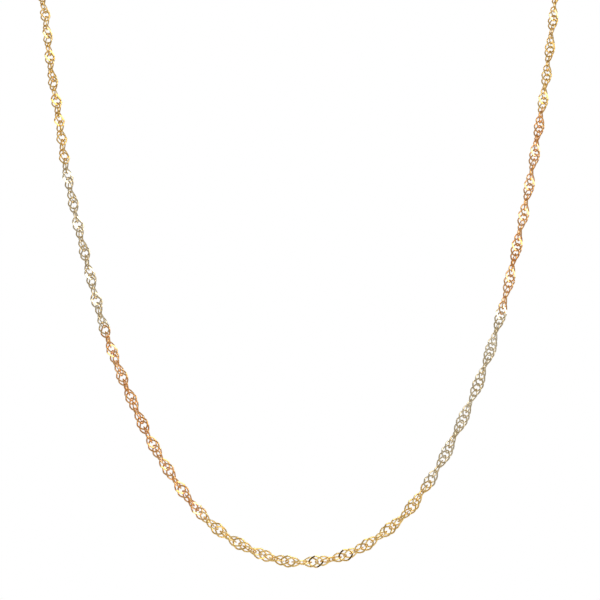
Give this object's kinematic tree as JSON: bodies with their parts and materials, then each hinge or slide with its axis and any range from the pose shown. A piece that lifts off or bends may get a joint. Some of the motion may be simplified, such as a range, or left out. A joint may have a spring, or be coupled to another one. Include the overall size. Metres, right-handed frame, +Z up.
{
  "type": "twisted chain necklace",
  "caption": "Fine twisted curb chain necklace in runs of yellow, white and rose gold, closed at the nape by a ring clasp and hanging in a deep U as worn.",
  "frame": {"origin": "centre of the clasp ring, where the closed chain rests on the nape", "axes": "+X to the right in the front view, +Z up, and the front of the necklace faces -Y"},
  "size_m": [0.1063, 0.1076, 0.1351],
  "materials": {
    "yellow_gold": "polished 14 carat yellow gold with cut flats",
    "white_gold": "polished 14 carat white gold with cut flats, warm grey",
    "rose_gold": "polished 14 carat rose gold with cut flats"
  },
  "bodies": {
    "root": {"chain_01_yellow": "yellow_gold", "chain_02_white": "white_gold", "chain_03_rose": "rose_gold", "chain_04_yellow": "yellow_gold", "chain_05_white": "white_gold", "chain_06_rose": "rose_gold", "chain_07_yellow": "yellow_gold", "chain_08_white": "white_gold", "chain_09_rose": "rose_gold", "chain_10_yellow": "yellow_gold", "chain_11_white": "white_gold", "chain_12_rose": "rose_gold", "end_link_left": "yellow_gold", "jump_ring": "yellow_gold", "clasp_ring": "yellow_gold", "catch_ring": "yellow_gold", "end_link_right": "yellow_gold"}
  },
  "joints": []
}
